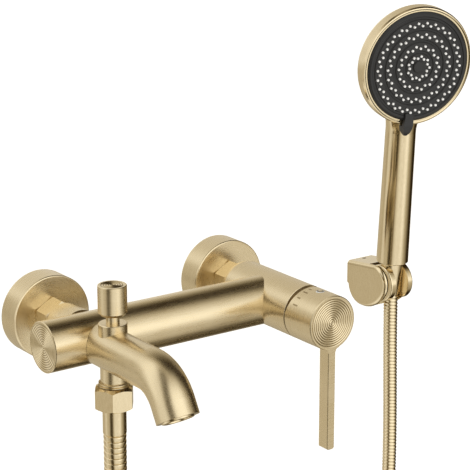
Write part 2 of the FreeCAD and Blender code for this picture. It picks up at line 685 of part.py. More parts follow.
def diverter_spring():
    wire = 0.45
    middle_r = 3.55
    turns = 6
    height = BUSH_BOTTOM - SPRING_BOTTOM - 2 * wire - 0.1
    helix = Part.makeHelix(height / turns, height, middle_r)
    circle = Part.Wire([Part.Circle(V(middle_r, 0, 0), V(0, 1, 0), wire).toShape()])
    spring = Part.Wire(helix.Edges).makePipeShell([circle], True, True)
    spring.translate(V(LEFT, DIVERTER_Y, SPRING_BOTTOM + wire + 0.05))
    return spring


def diverter_knob():
    height = KNOB_TOP - KNOB_BOTTOM
    profile = [(STEM_R, 0), (KNOB_R - KNOB_CHAMFER, 0), (KNOB_R, KNOB_CHAMFER), (KNOB_R, height - 0.4),
               (KNOB_R - 0.4, height)]
    profile += ringed_face(8.2, height)
    profile += [(0, STEM_TOP - KNOB_BOTTOM), (STEM_R, STEM_TOP - KNOB_BOTTOM)]
    return revolve(profile, (LEFT, DIVERTER_Y, KNOB_BOTTOM), (0, 0, 1))


# ---- hose ------------------------------------------------------------------
def hose_nut():
    bottom = (LEFT, DIVERTER_Y, HOSE_NUT_BOTTOM)
    top = (LEFT, DIVERTER_Y, HOSE_NUT_TOP)
    blank = chamfered_prism(HOSE_NUT_AF, bottom, top, turn=HOSE_NUT_TURN, bevel=2.0)
    thread = upright(OUTLET_THREAD_R + 0.03, HOSE_WASHER_BOTTOM - 0.2, HOSE_NUT_TOP + 1)
    return blank.cut(thread).cut(upright(FERRULE_R + RUN, HOSE_NUT_BOTTOM - 1, HOSE_WASHER_BOTTOM))


def hose_washer():
    return ring(10.2, 5.6, (LEFT, DIVERTER_Y, HOSE_WASHER_BOTTOM), (LEFT, DIVERTER_Y, OUTLET_BOTTOM))


def hose_ferrule():
    """Crimped end of the hose: a plain neck with a flange, then a ribbed sleeve."""
    bore = 5.0
    seat = HOSE_WASHER_BOTTOM - 0.1
    profile = [(bore, seat), (FERRULE_R, seat), (FERRULE_R, FERRULE_BOTTOM + 0.4),
               (FERRULE_R - 0.4, FERRULE_BOTTOM)]
    root = SLEEVE_R - SLEEVE_GROOVE
    top = FERRULE_BOTTOM
    while top - SLEEVE_PITCH >= SLEEVE_BOTTOM:
        profile += [(root, top), (root, top - 0.6), (SLEEVE_R - 0.1, top - 1.1),
                    (SLEEVE_R, top - SLEEVE_PITCH / 2), (SLEEVE_R - 0.1, top - SLEEVE_PITCH + 0.4)]
        top -= SLEEVE_PITCH
    profile += [(root, SLEEVE_BOTTOM), (bore, SLEEVE_BOTTOM)]
    return revolve(profile, (LEFT, DIVERTER_Y, 0), (0, 0, 1))


def coil_point(angle):
    """Centre of the hose in the coil, at an angle in degrees from +X towards +Z."""
    a = math.radians(angle)
    y = COIL_FIRST_Y + COIL_PITCH * (angle - COIL_ENTRY) / 360
    return (COIL_X + COIL_R * math.cos(a), y, COIL_Z + COIL_R * math.sin(a))


def hose():
    left_end = coil_point(COIL_ENTRY)
    right_start = coil_point(COIL_EXIT)
    left, left_length = tube_along(LEFT_ROUTE + [left_end], HOSE_R, "left leg")
    right, right_length = tube_along([right_start] + RIGHT_ROUTE, HOSE_R, "right leg")
    front = COIL_FIRST_Y - HOSE_R
    back = right_start[1] + HOSE_R
    coil = ring(COIL_R + HOSE_R, COIL_R - HOSE_R, (COIL_X, front, COIL_Z), (COIL_X, back, COIL_Z))
    turns = (COIL_EXIT - COIL_ENTRY) / 360
    coil_length = turns * math.hypot(2 * math.pi * COIL_R, COIL_PITCH)
    print("hose length", round(left_length + coil_length + right_length, 1))
    return left, coil, right


def coil_ties():
    """Two straps round the wound turns."""
    front = COIL_FIRST_Y - HOSE_R
    back = coil_point(COIL_EXIT)[1] + HOSE_R
    straps = []
    for angle in (90.0, 270.0):
        half = 5.0
        outer = box((COIL_X + COIL_R - HOSE_R - 2.0, front - 2.0, COIL_Z - half),
                    (COIL_X + COIL_R + HOSE_R + 2.0, back + 2.0, COIL_Z + half))
        inner = box((COIL_X + COIL_R - HOSE_R - 0.8, front - 0.8, COIL_Z - half - 1),
                    (COIL_X + COIL_R + HOSE_R + 0.8, back + 0.8, COIL_Z + half + 1))
        strap = outer.cut(inner)
        strap.rotate(V(COIL_X, 0, COIL_Z), V(0, -1, 0), angle)
        straps.append(strap)
    return Part.makeCompound(straps)


# ---- hand shower -----------------------------------------------------------
def in_place(solid):
    """Moves a piece from the hand shower's frame into the bracket."""
    lean = FreeCAD.Rotation(V(1, 0, 0), SHOWER_LEAN)
    twist = FreeCAD.Rotation(V(0, 0, 1), SHOWER_TWIST)
    solid.Placement = FreeCAD.Placement(SHOWER_FOOT, lean.multiply(twist)).multiply(solid.Placement)
    return solid


def in_head(profile):
    """Turns a profile about the head's axis; heights count backwards from the face."""
    tilt = math.radians(HEAD_TILT)
    return revolve(profile, (0, HEAD_Y, HEAD_Z), (0, math.cos(tilt), math.sin(tilt)))


def oval_at(half_width, half_depth, y, z):
    """Level section of the neck: an ellipse, wider across than it is deep."""
    if half_width > half_depth:
        shape = Part.Ellipse(V(half_width, y, z), V(0, y + half_depth, z), V(0, y, z))
    else:
        shape = Part.Circle(V(0, y, z), V(0, 0, 1), half_width)
    return Part.Wire([shape.toShape()])


def shower_body():
    """Hollow handle and head shell in one casting, with the hose nipple at its foot."""
    head = in_head([(0, 0.6), (HEAD_R - 2.4, 0.6), (HEAD_R - 1.6, 0), (HEAD_R - 0.8, 0.3), (HEAD_R, 1.6),
                    (HEAD_R, 8.6), (HEAD_R - 0.8, 11.2), (HEAD_R - 4.0, 13.6), (34.0, 15.8), (20.0, 17.6),
                    (0, 18.4)])
    grip = revolve([(0, 0), (HANDLE_R - 0.5, 0), (HANDLE_R, 0.5), (HANDLE_TOP_R, GRIP_TOP), (0, GRIP_TOP)],
                   (0, 0, 0), (0, 0, 1))
    neck = Part.makeLoft([oval_at(HANDLE_TOP_R, HANDLE_TOP_R, 0, GRIP_TOP), oval_at(12.6, 11.2, -0.9, 112.0),
                          oval_at(15.0, 9.6, -3.2, 122.0), oval_at(14.5, 7.0, -6.0, 134.0),
                          oval_at(9.0, 4.5, -8.5, 148.0)], True, False)
    nipple = cylinder(NIPPLE_R, (0, 0, NIPPLE_BOTTOM), (0, 0, 1.0))
    solid = fuse(head, grip, neck, nipple)
    inner = HEAD_R - 3.4
    cavity = in_head([(0, -1), (inner, -1), (inner, 8.4), (inner - 2.6, 11.0), (30.0, 13.2), (0, 15.2)])
    nipple_bore = cylinder(CONE_BORE_R, (0, 0, NIPPLE_BOTTOM - 1), (0, 0, 9.0))
    handle_bore = cylinder(9.4, (0, 0, 8.0), (0, 0, 106.0))
    throat = cylinder(4.6, (0, -1.0, 105.0), (0, -6.5, 138.0))
    return in_place(solid.cut(cavity).cut(fuse(nipple_bore, handle_bore)).cut(throat))


def spray_chamber():
    """Fixed inner plate with the spindle that the spray face turns on."""
    rim = HEAD_R - 4.2
    return in_place(in_head([(0, 1.4), (2.9, 1.4), (2.9, 5.4), (rim, 5.4), (rim, 7.8), (0, 7.8)]))


def waterway_tube():
    return in_place(ring(5.0, 4.0, (0, 0, 9.2), (0, 0, 105.0)))


def selector_tab():
    """Finger tab on the spray face: it stands forward over the rim and turns back below it."""
    reach = V(0, 20, 0)
    points = [V(x, 0, z) for x, z in TAB_OUTLINE] + [V(-x, 0, z) for x, z in reversed(TAB_OUTLINE)]
    front = Part.Face(Part.makePolygon(points + points[:1])).extrude(reach)
    front.translate(reach * -0.5)
    points = [V(-10, y, z) for y, z in TAB_SIDE]
    tab = Part.Face(Part.makePolygon(points + points[:1])).extrude(V(20, 0, 0)).common(front)
    tab.rotate(V(0, 0, 0), V(0, 1, 0), -TAB_TURN)
    tab.rotate(V(0, 0, 0), V(1, 0, 0), HEAD_TILT)
    tab.translate(V(0, HEAD_Y, HEAD_Z))
    return tab


def spray_face():
    """Black front plate with its selector tab; grooves part the rings of nozzles."""
    profile = [(3.0, 3.6), (3.0, 1.0), (0, 1.0), (0, -0.4), (8.0, -0.4)]
    for radius in FACE_GROOVES:
        profile += [(radius - 1.2, -0.9), (radius - 0.6, -0.2), (radius + 0.6, -0.2), (radius + 1.2, -0.9)]
    profile += [(FACE_R - 1.6, -0.9), (FACE_R, 0.2), (FACE_R, 3.6)]
    return in_place(fuse(in_head(profile), selector_tab()))


def nozzle_mat():
    """Silicone mat clamped behind the face; its tips reach through the face's holes."""
    rim = FACE_R - 2.7
    return in_place(in_head([(5.0, 3.7), (rim, 3.7), (rim, 4.9), (5.0, 4.9)]))


def centre_disc():
    return in_place(in_head([(0, -1.5), (4.0, -1.5), (4.5, -1.1), (4.5, -0.42), (0, -0.42)]))


def conical_nut():
    """Tapered nut of the hose, which also sits in the cradle; screwed on the nipple."""
    cone = frustum(CONE_BOTTOM_R, CONE_TOP_R, (0, 0, -CONE_LENGTH), (0, 0, -0.15))
    cone = cone.cut(cylinder(CONE_BORE_R, (0, 0, -CONE_LENGTH - 1), (0, 0, 1)))
    return in_place(cone.cut(cylinder(NIPPLE_R + RUN, (0, 0, NIPPLE_BOTTOM - 1.7), (0, 0, 1))))


def shower_washer():
    bottom = (0, 0, NIPPLE_BOTTOM - 1.65)
    top = (0, 0, NIPPLE_BOTTOM - 0.05)
    return in_place(ring(NIPPLE_R, CONE_BORE_R + RUN, bottom, top))


# ---- bracket ---------------------------------------------------------------
def across(radius, y, z, half):
    return cylinder(radius, (BRACKET_X - half, y, z), (BRACKET_X + half, y, z))


def side_point(y, z):
    """Point on the left cheek's outer face."""
    return V(BRACKET_X - BRACKET_HALF, y, z)


def bracket_outline():
    """Side view: back on the wall, top rising to the round of the cheeks, rounded belly."""
    back_top = side_point(0, BRACKET_TOP)
    centre = side_point(CHEEK_Y, CHEEK_Z)
    to_centre = centre - back_top
    slope = math.atan2(-to_centre.z, -to_centre.y) - math.asin(CHEEK_R / to_centre.Length)
    run = math.sqrt(to_centre.Length ** 2 - CHEEK_R ** 2)
    touch = back_top + V(0, -math.cos(slope), -math.sin(slope)) * run
    arc_end = math.radians(CHEEK_ARC_END)
    leave = centre + V(0, -math.cos(arc_end), math.sin(arc_end)) * CHEEK_R
    edges = [Part.LineSegment(back_top, touch).toShape(),
             Part.Arc(touch, centre - V(0, CHEEK_R, 0), leave).toShape()]
    heading = math.atan2(-math.cos(arc_end), -math.sin(arc_end)) + math.radians(3.0)
    at = leave
    for y, z in BELLY:
        end = side_point(y, z)
        chord = end - at
        half_turn = math.atan2(chord.z, chord.y) - heading
        bulge = chord.Length / 2 * math.tan(half_turn / 2)
        outward = V(0, chord.z, -chord.y).normalize()
        edges.append(Part.Arc(at, (at + end) * 0.5 + outward * bulge, end).toShape())
        heading += 2 * half_turn
        at = end
    edges.append(Part.LineSegment(at, back_top).toShape())
    return Part.Wire(edges)


def bracket_base():
    """Cast bracket: a back, and two cheeks that hold the turning cradle."""
    block = Part.Face(bracket_outline()).extrude(V(2 * BRACKET_HALF, 0, 0))
    belly = [e for e in block.Edges if e.BoundBox.XLength < 0.01 and e.BoundBox.ZMax < CHEEK_Z - 4]
    solid = block.makeFillet(BELLY_ROUNDING, belly)
    inner = BRACKET_HALF - CHEEK
    recess = PLATE_HALF + 0.3
    cuts = [
        across(CRADLE_R + CRADLE_GAP, CRADLE_Y, CRADLE_Z, inner),
        box((BRACKET_X - inner, -60, -60), (BRACKET_X + inner, CRADLE_Y + 12.0, 0)),
        box((BRACKET_X - recess, -6.0, PLATE_BOTTOM - 0.4), (BRACKET_X + recess, 1, PLATE_TOP + 0.3)),
        cylinder(1.6, (BRACKET_X, LOCK_SCREW_Y, -20), (BRACKET_X, LOCK_SCREW_Y, 0)),
        across(CRADLE_PIN_R, CRADLE_Y, CRADLE_Z, BRACKET_HALF - 0.8),
    ]
    return solid.cut(cuts[0].multiFuse(cuts[1:]))


def bracket_plate():
    """Fixed to the wall first; the bracket hangs over it and is locked from above."""
    plate = box((BRACKET_X - PLATE_HALF, -PLATE_DEPTH, PLATE_BOTTOM),
                (BRACKET_X + PLATE_HALF, 0, PLATE_TOP))
    for z in BRACKET_SCREWS_Z:
        plate = plate.cut(cylinder(2.3, (BRACKET_X, 1, z), (BRACKET_X, -PLATE_DEPTH - 1, z)))
    hook = box((BRACKET_X - 5.0, -5.9, -16.6), (BRACKET_X + 5.0, -PLATE_DEPTH, -15.4))
    return fuse(plate, hook)


def bracket_wall_screws():
    """Thread in the wall, plain shank in the plate, slotted round head on the plate."""
    head = SCREW_END + PLATE_DEPTH
    profile = [(0, 0), (1.0, 0), (2.0, 3.0), (2.0, SCREW_END), (2.2, SCREW_END), (2.2, head), (3.6, head),
               (3.4, head + 1.4), (2.2, head + 2.2), (0, head + 2.2)]
    screws = []
    for z in BRACKET_SCREWS_Z:
        screw = revolve(profile, (BRACKET_X, SCREW_END, z), (0, -1, 0))
        slot = box((BRACKET_X - 2.2, -PLATE_DEPTH - 2.4, z - 0.4),
                   (BRACKET_X + 2.2, -PLATE_DEPTH - 1.2, z + 0.4))
        screws.append(screw.cut(slot))
    return Part.makeCompound(screws)


def bracket_lock_screw():
    solid = cylinder(1.55, (BRACKET_X, LOCK_SCREW_Y, -15.35), (BRACKET_X, LOCK_SCREW_Y, -12.3))
    return solid.cut(prism(1.5, (BRACKET_X, LOCK_SCREW_Y, -13.6), (BRACKET_X, LOCK_SCREW_Y, -12)))


def seat_axis(height):
    """Point on the hand shower's axis, by its height above the handle's foot."""
    lean = math.radians(SHOWER_LEAN)
    return (SHOWER_FOOT.x, SHOWER_FOOT.y - height * math.sin(lean), SHOWER_FOOT.z + height * math.cos(lean))


def cradle():
    """Turning barrel with a conical seat, open at the front for the hose."""
    solid = across(CRADLE_R, CRADLE_Y, CRADLE_Z, CRADLE_HALF)
    rims = [e for e in solid.Edges if e.BoundBox.XLength < 0.01]
    solid = solid.makeFillet(1.2, rims)
    seat_bottom_r = CONE_BOTTOM_R + SEAT_CLEARANCE
    seat_top_r = CONE_TOP_R + SEAT_CLEARANCE
    slot_half = HOSE_R + 0.5
    pin_holes = across(CRADLE_PIN_R + RUN, CRADLE_Y, CRADLE_Z, CRADLE_HALF + 1)
    cuts = [
        frustum(seat_bottom_r, seat_top_r, seat_axis(-CONE_LENGTH), seat_axis(0)),
        cylinder(seat_top_r, seat_axis(-0.05), seat_axis(12)),
        cylinder(CONE_BOTTOM_R, seat_axis(-CONE_LENGTH - 22), seat_axis(-CONE_LENGTH + 0.1)),
        box((BRACKET_X - slot_half, -60, -60), (BRACKET_X + slot_half, SHOWER_FOOT.y, 0)),
        pin_holes.cut(across(3.0, CRADLE_Y, CRADLE_Z, CRADLE_HALF - 1.4)),
    ]
    return solid.cut(cuts[0].multiFuse(cuts[1:]))


def on_cradle_axis(side, near, far):
    """Start and end on the cradle's axis, at these distances to one side of its middle."""
    return (BRACKET_X + side * near, CRADLE_Y, CRADLE_Z), (BRACKET_X + side * far, CRADLE_Y, CRADLE_Z)


def cradle_pins():
    near = CRADLE_HALF - 1.3
    far = BRACKET_HALF - 0.85
    return Part.makeCompound([cylinder(CRADLE_PIN_R, *on_cradle_axis(side, near, far)) for side in (-1, 1)])


def cradle_washers():
    near = CRADLE_HALF + 0.05
    far = BRACKET_HALF - CHEEK - 0.03
    return Part.makeCompound([ring(7.0, 2.2, *on_cradle_axis(side, near, far)) for side in (-1, 1)])


# ---- every sub-part, by name -----------------------------------------------
def all_parts():
    left_leg, coil, right_leg = hose()
    return {
        "mixer_body": mixer_body(),
        "end_cap": end_cap(),
        "end_cap_oring": end_cap_oring(),
        "left_wall_union": wall_union(LEFT),
        "right_wall_union": wall_union(RIGHT),
        "left_escutcheon": escutcheon(LEFT),
        "right_escutcheon": escutcheon(RIGHT),
        "left_union_nut": union_nut(LEFT),
        "right_union_nut": union_nut(RIGHT),
        "inlet_tailpieces": Part.makeCompound([tailpiece(LEFT), tailpiece(RIGHT)]),
        "inlet_washers": Part.makeCompound([inlet_washer(LEFT), inlet_washer(RIGHT)]),
        "inlet_filters": Part.makeCompound([inlet_filter(LEFT), inlet_filter(RIGHT)]),
        "cartridge_base": cartridge_base(),
        "cartridge_seals": cartridge_seals(),
        "fixed_ceramic_disc": fixed_disc(),
        "moving_ceramic_disc": moving_disc(),
        "disc_carrier": disc_carrier(),
        "cartridge_housing": cartridge_housing(),
        "retaining_nut": retaining_nut(),
        "dome_collar": dome_collar(),
        "spindle_carrier": spindle_carrier(),
        "stem_pin": stem_pin(),
        "stem_lever": stem_lever(),
        "handle": handle(),
        "handle_grub_screw": handle_grub_screw(),
        "index_button": index_button(),
        "spout_body": spout_body(),
        "spout_nipple": spout_nipple(),
        "spout_oring": spout_oring(),
        "aerator_housing": aerator_housing(),
        "aerator_screen": aerator_screen(),
        "aerator_washer": aerator_washer(),
        "diverter_bush": diverter_bush(),
        "diverter_oring": diverter_oring(),
        "diverter_stem": diverter_stem(),
        "diverter_washer": diverter_washer(),
        "diverter_spring": diverter_spring(),
        "diverter_knob": diverter_knob(),
        "hose_nut": hose_nut(),
        "hose_washer": hose_washer(),
        "hose_ferrule": hose_ferrule(),
        "hose_left_leg": left_leg,
        "hose_coil": coil,
        "hose_right_leg": right_leg,
        "coil_ties": coil_ties(),
        "conical_nut": conical_nut(),
        "shower_washer": shower_washer(),
        "shower_body": shower_body(),
        "waterway_tube": waterway_tube(),
        "spray_chamber": spray_chamber(),
        "spray_face": spray_face(),
        "nozzle_mat": nozzle_mat(),
        "centre_disc": centre_disc(),
        "bracket_base": bracket_base(),
        "bracket_plate": bracket_plate(),
        "bracket_wall_screws": bracket_wall_screws(),
        "bracket_lock_screw": bracket_lock_screw(),
        "cradle": cradle(),
        "cradle_pins": cradle_pins(),
        "cradle_washers": cradle_washers(),
    }


os.makedirs("parts", exist_ok=True)
for node, shape in all_parts().items():
    if not shape.isValid() or shape.Volume <= 0:
        print("invalid", node, shape.ShapeType, shape.Volume)
    shape.exportStep(f"parts/{node}.step")
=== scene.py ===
"""Looks of the wall mounted bath mixer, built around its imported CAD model.

Metres.  +Z is up, the finished wall is y = 0 and the mixer faces -Y.
"""
import math

import bpy
from mathutils import Matrix, Quaternion, Vector


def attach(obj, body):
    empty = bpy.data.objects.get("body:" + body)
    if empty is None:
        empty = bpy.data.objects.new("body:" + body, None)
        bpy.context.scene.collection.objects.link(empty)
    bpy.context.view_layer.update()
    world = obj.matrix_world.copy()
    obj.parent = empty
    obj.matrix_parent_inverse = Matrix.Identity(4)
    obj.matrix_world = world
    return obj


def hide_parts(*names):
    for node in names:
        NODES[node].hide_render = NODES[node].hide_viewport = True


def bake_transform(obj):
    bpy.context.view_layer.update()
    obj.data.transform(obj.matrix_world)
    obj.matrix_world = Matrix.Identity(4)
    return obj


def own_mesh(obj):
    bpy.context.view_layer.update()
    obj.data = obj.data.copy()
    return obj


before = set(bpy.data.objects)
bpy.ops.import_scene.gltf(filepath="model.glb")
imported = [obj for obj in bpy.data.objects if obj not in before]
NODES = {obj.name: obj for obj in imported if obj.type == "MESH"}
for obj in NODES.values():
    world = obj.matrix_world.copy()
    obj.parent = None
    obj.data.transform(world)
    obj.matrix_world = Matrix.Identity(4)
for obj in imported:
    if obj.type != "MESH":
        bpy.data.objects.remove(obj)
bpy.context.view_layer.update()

# ---- camera and studio -------------------------------------------------------
CAMERA_PLACE = Vector((-0.6878, -1.0938, 0.4105))
CAMERA_YAW = math.radians(35.55)
CAMERA_PITCH = math.radians(-15.92)
CAMERA_LENS = 143.15
FLOOR_Z = -0.45

# ---- places on the mixer -------------------------------------------------------
INLET_X = 0.075                  # half the distance between the wall inlets
BAR_Y = -0.0698
HOUSING_R = 0.0194
DIVERTER_Y = -0.098
CAP_FACE = (-0.1122, 0.0162)     # faces with turned rings: place along their axis, and radius
HANDLE_FACE = (-0.1416, 0.0177)
KNOB_FACE = (0.0441, 0.0082)
BUTTON_Y = -0.1276
BUTTON_CENTRE_R = 0.0015
BUTTON_RING_R = 0.0025
MARK_ANGLES = (98, 112, 130, 147)            # degrees from +X towards +Z
MARK_BACK = -0.1180
MARK_LENGTH = 0.0048             # every other mark is shorter
MARK_SHORT = 0.7
MARK_WIDTH = 0.0012

# ---- hand shower, placed as in the CAD model ----------------------------------
SHOWER_FOOT = Vector((0.216, -0.038, -0.005))
SHOWER_LEAN = math.radians(3.44)
SHOWER_TWIST = math.radians(-12.0)
HEAD_TILT = math.radians(3.0)
HEAD_CENTRE = Vector((0, -0.020, 0.1584))
NOZZLE_RINGS = [                 # outer row, inner row, tips in each
    (0.0342, 0.0322, 30),
    (0.0258, 0.0238, 22),
    (0.0168, 0.0150, 14),
    (0.0090, 0.0075, 9),
]
NOZZLE_DROP = 0.0008             # the rings sit a little below the middle of the face
NOZZLE_PROFILE = [               # radius and height, from the foot to the jet hole
    (0.00095, 0.0009),
    (0.00095, -0.0006),
    (0.00088, -0.0010),
    (0.00060, -0.0013),
    (0.00026, -0.0013),
    (0.00022, -0.0009),
]
SPRAY_FACE = -0.0009             # where the tips stand on the turning face
CENTRE_DISC = -0.0004            # and on the disc in its middle
CENTRE_DISC_R = 0.011

# ---- diverter spring ------------------------------------------------------------
SPRING_BOTTOM = -0.0083
SPRING_TOP = 0.0095
SPRING_R = 0.00355               # to the middle of the wire
SPRING_WIRE = 0.00045
SPRING_TURNS = 6
SPRING_GAP = 0.00005             # at each end

# ---- hose ----------------------------------------------------------------------
HOSE_D = 0.011
RIB_PITCH = 0.0027
RIB_DEPTH = 0.0007
RIB_SHAPE = (0.0, 0.55, 0.95, 1.0, 1.0, 0.6)     # height of the skin along one rib
LEFT_ROUTE = [
    (-0.075, -0.098, -0.088),
    (-0.075, -0.098, -0.118),
    (-0.067, -0.0975, -0.162),
    (-0.048, -0.0965, -0.208),
    (-0.022, -0.095, -0.250),
    (0.007, -0.0935, -0.291),
]
RIGHT_ROUTE = [
    (0.157, -0.054, -0.296),
    (0.181, -0.050, -0.263),
    (0.199, -0.0465, -0.232),
    (0.2105, -0.0435, -0.203),
    (0.216, -0.0415, -0.174),
    (0.216, -0.0364, -0.031),
    (0.216, -0.0382, -0.001),
]
COIL_CENTRE = (0.084, -0.300)    # x and z
COIL_R = 0.0605
COIL_FIRST_Y = -0.092
COIL_PITCH = 0.0116
COIL_ENTRY = 210.0               # degrees, from +X towards +Z
COIL_EXIT = 1050.0
COIL_STEP = 24.0

# ---- straps round the spare turns ----------------------------------------------
TIE_ANGLES = {"upper_tie": 90.0, "lower_tie": 270.0}
TIE_WIDTH = 0.010
TIE_THICKNESS = 0.0011
TIE_GAP = 0.0002                 # between the turns and the strap
TIE_LAP = 0.014                  # the end lies over the start
TIE_RISE = 0.006                 # length over which it climbs onto it
TIE_CLEARANCE = 0.0001

# ---- room that the metal reflects ------------------------------------------------
ROOM_PEAK = 1.5
ROOM = [                         # brightness over the peak, and the room's colour there
    (0.00, (0.025, 0.015, 0.006)),
    (0.10, (0.15, 0.122, 0.070)),
    (0.40, (0.60, 0.545, 0.435)),
    (0.67, (1.00, 0.98, 0.93)),
    (1.00, (1.50, 1.50, 1.48)),
]
ARCH_Y = 0.08                    # the dark arch passes overhead, down the right side and below
GAP_HEADING = 208                # degrees from +X: a dark gap between the bright screens
SIDE_HEADING = 150               # a small screen at the left
FRONT_HEADING = 268              # a broad screen in front
WINDOW = (0.30, -0.95, 0.08)     # direction of the brightest part
SHADE = (-0.64, 0.76, 0.08)      # direction of a dull part behind, at the left


# ---- shader helpers --------------------------------------------------------------
def new_material(name, roughness=0.5, metallic=0.0, **sockets):
    """A Principled material; the sockets given are constant over the surface."""
    made = bpy.data.materials.new(name)
    made.use_nodes = True
    shader = made.node_tree.nodes["Principled BSDF"]
    shader.inputs["Roughness"].default_value = roughness
    shader.inputs["Metallic"].default_value = metallic
    for socket, value in sockets.items():
        shader.inputs[socket.replace("_", " ")].default_value = value
    return made, made.node_tree, shader


def node(tree, kind, **settings):
    made = tree.nodes.new(kind)
    for key, value in settings.items():
        setattr(made, key, value)
    return made


def math_node(tree, operation, first, second=None):
    made = node(tree, "ShaderNodeMath", operation=operation)
    for socket, value in zip(made.inputs, (first, second)):
        if value is None:
            continue
        if isinstance(value, (int, float)):
            socket.default_value = value
        else:
            tree.links.new(value, socket)
    return made.outputs[0]


def at_rest(tree):
    """Coordinates that go with the piece: every node's mesh is made where it stands."""
    return node(tree, "ShaderNodeTexCoord").outputs["Object"]


def stretched(tree, source, scale):
    mapping = node(tree, "ShaderNodeMapping")
    mapping.inputs["Scale"].default_value = scale
    tree.links.new(source, mapping.inputs["Vector"])
    return mapping.outputs["Vector"]


def turned(tree, centre, axis, radius):
    """Coordinates round an axis: distance round it, distance along it, distance from it."""
    shift = node(tree, "ShaderNodeVectorMath", operation="SUBTRACT")
    tree.links.new(at_rest(tree), shift.inputs[0])
    shift.inputs[1].default_value = centre
    parts = node(tree, "ShaderNodeSeparateXYZ")
    tree.links.new(shift.outputs[0], parts.inputs[0])
    along = {"X": 0, "Y": 1, "Z": 2}[axis]
    first, second = [parts.outputs[i] for i in range(3) if i != along]
    angle = math_node(tree, "ARCTAN2", second, first)
    squares = math_node(tree, "ADD", math_node(tree, "MULTIPLY", first, first),
                        math_node(tree, "MULTIPLY", second, second))
    joined = node(tree, "ShaderNodeCombineXYZ")
    tree.links.new(math_node(tree, "MULTIPLY", angle, radius), joined.inputs[0])
    tree.links.new(parts.outputs[along], joined.inputs[1])
    tree.links.new(math_node(tree, "SQRT", squares), joined.inputs[2])
    return joined.outputs[0]


def noise(tree, source, scale=1.0, detail=3.0, rough=0.55):
    made = node(tree, "ShaderNodeTexNoise")
    made.inputs["Scale"].default_value = scale
    made.inputs["Detail"].default_value = detail
    made.inputs["Roughness"].default_value = rough
    tree.links.new(source, made.inputs["Vector"])
    return made.outputs["Fac"]


def ranged(tree, value, low, high, start=0.3, end=0.7, kind="LINEAR"):
    made = node(tree, "ShaderNodeMapRange", interpolation_type=kind)
    for socket, number in zip(("From Min", "From Max", "To Min", "To Max"), (start, end, low, high)):
        made.inputs[socket].default_value = number
    tree.links.new(value, made.inputs["Value"])
    return made.outputs["Result"]


def blended(tree, factor, first, second):
    """Mixes two colours, or two outputs, by a factor."""
    made = node(tree, "ShaderNodeMix", data_type="RGBA")
    tree.links.new(factor, made.inputs["Factor"])
    for socket, value in ((made.inputs[6], first), (made.inputs[7], second)):
        if isinstance(value, tuple):
            socket.default_value = (*value, 1.0)
        else:
            tree.links.new(value, socket)
    return made.outputs[2]


def bumped(tree, shader, height, distance):
    made = node(tree, "ShaderNodeBump")
    made.inputs["Strength"].default_value = 1.0
    made.inputs["Distance"].default_value = distance
    tree.links.new(height, made.inputs["Height"])
    tree.links.new(made.outputs["Normal"], shader.inputs["Normal"])


# ---- materials -------------------------------------------------------------------
GOLD = (0.80, 0.68, 0.46)
GOLD_SHADE = (0.73, 0.61, 0.395)
# dark brown used as painted shade: at the bottom of turned grooves, and on the collar seen through the
# handle's gap
PAINTED_SHADE_BROWN = (0.22, 0.16, 0.08)
RING_PITCH = 0.0016              # of the turned rings on the end cap, handle and knob
LINE_GRAIN = {"X": (110, 1300, 1300), "Y": (1300, 110, 1300), "Z": (1300, 1300, 110)}
TURN_GRAIN = (110, 1300, 1300)


def groove_painted_shade(tree, centre, axis, face, rim):
    """1 at the bottom of the turned grooves of a ringed face, where painted shade darkens the colour."""
    parts = node(tree, "ShaderNodeSeparateXYZ")
    tree.links.new(turned(tree, centre, axis, 1.0), parts.inputs[0])
    off_ridge = math_node(tree, "PINGPONG", parts.outputs[2], RING_PITCH / 2)
    groove = ranged(tree, off_ridge, 0, 1, RING_PITCH * 0.28, RING_PITCH * 0.47, "SMOOTHSTEP")
    sign = 1 if face > 0 else -1
    height = math_node(tree, "MULTIPLY", parts.outputs[1], sign)
    on_face = ranged(tree, height, 0, 1, abs(face) - 0.0008, abs(face) - 0.0006)
    inside = ranged(tree, parts.outputs[2], 1, 0, rim, rim + 0.0001)
    return math_node(tree, "MULTIPLY", groove, math_node(tree, "MULTIPLY", on_face, inside))


def finish_metal(tree, shader, grain, cloud_scale, colors, roughness, depth, grooves=None):
    """Brushing from a stretched grain, and slow changes of tone from a cloud."""
    fine = noise(tree, grain, detail=4.0, rough=0.65)
    cloud = noise(tree, at_rest(tree), scale=cloud_scale, detail=2.0)
    tone = math_node(tree, "ADD", math_node(tree, "MULTIPLY", fine, 0.6),
                     math_node(tree, "MULTIPLY", cloud, 0.4))
    color = blended(tree, ranged(tree, tone, 0, 1, 0.36, 0.64), *colors)
    if grooves:
        # painted shade at the bottom of the turned grooves
        color = blended(tree, groove_painted_shade(tree, *grooves), color, PAINTED_SHADE_BROWN)
    tree.links.new(color, shader.inputs["Base Color"])
    tree.links.new(ranged(tree, tone, *roughness, 0.34, 0.66), shader.inputs["Roughness"])
    bumped(tree, shader, fine, depth)


def brushed(name, grain, colors=(GOLD_SHADE, GOLD), roughness=(0.24, 0.32), depth=0.000022, grooves=None):
    made, tree, shader = new_material(name, metallic=1.0)
    finish_metal(tree, shader, grain(tree), 45.0, colors, roughness, depth, grooves)
    return made


def brushed_line(name, axis, **finish):
    """Brushed straight: the grain runs along X, Y or Z."""
    def grain(tree):
        return stretched(tree, at_rest(tree), LINE_GRAIN[axis])
    return brushed(name, grain, **finish)


def brushed_turn(name, centre, axis, radius, **finish):
    """Brushed on a lathe: the grain runs round the axis."""
    def grain(tree):
        return stretched(tree, turned(tree, centre, axis, radius), TURN_GRAIN)
    return brushed(name, grain, **finish)


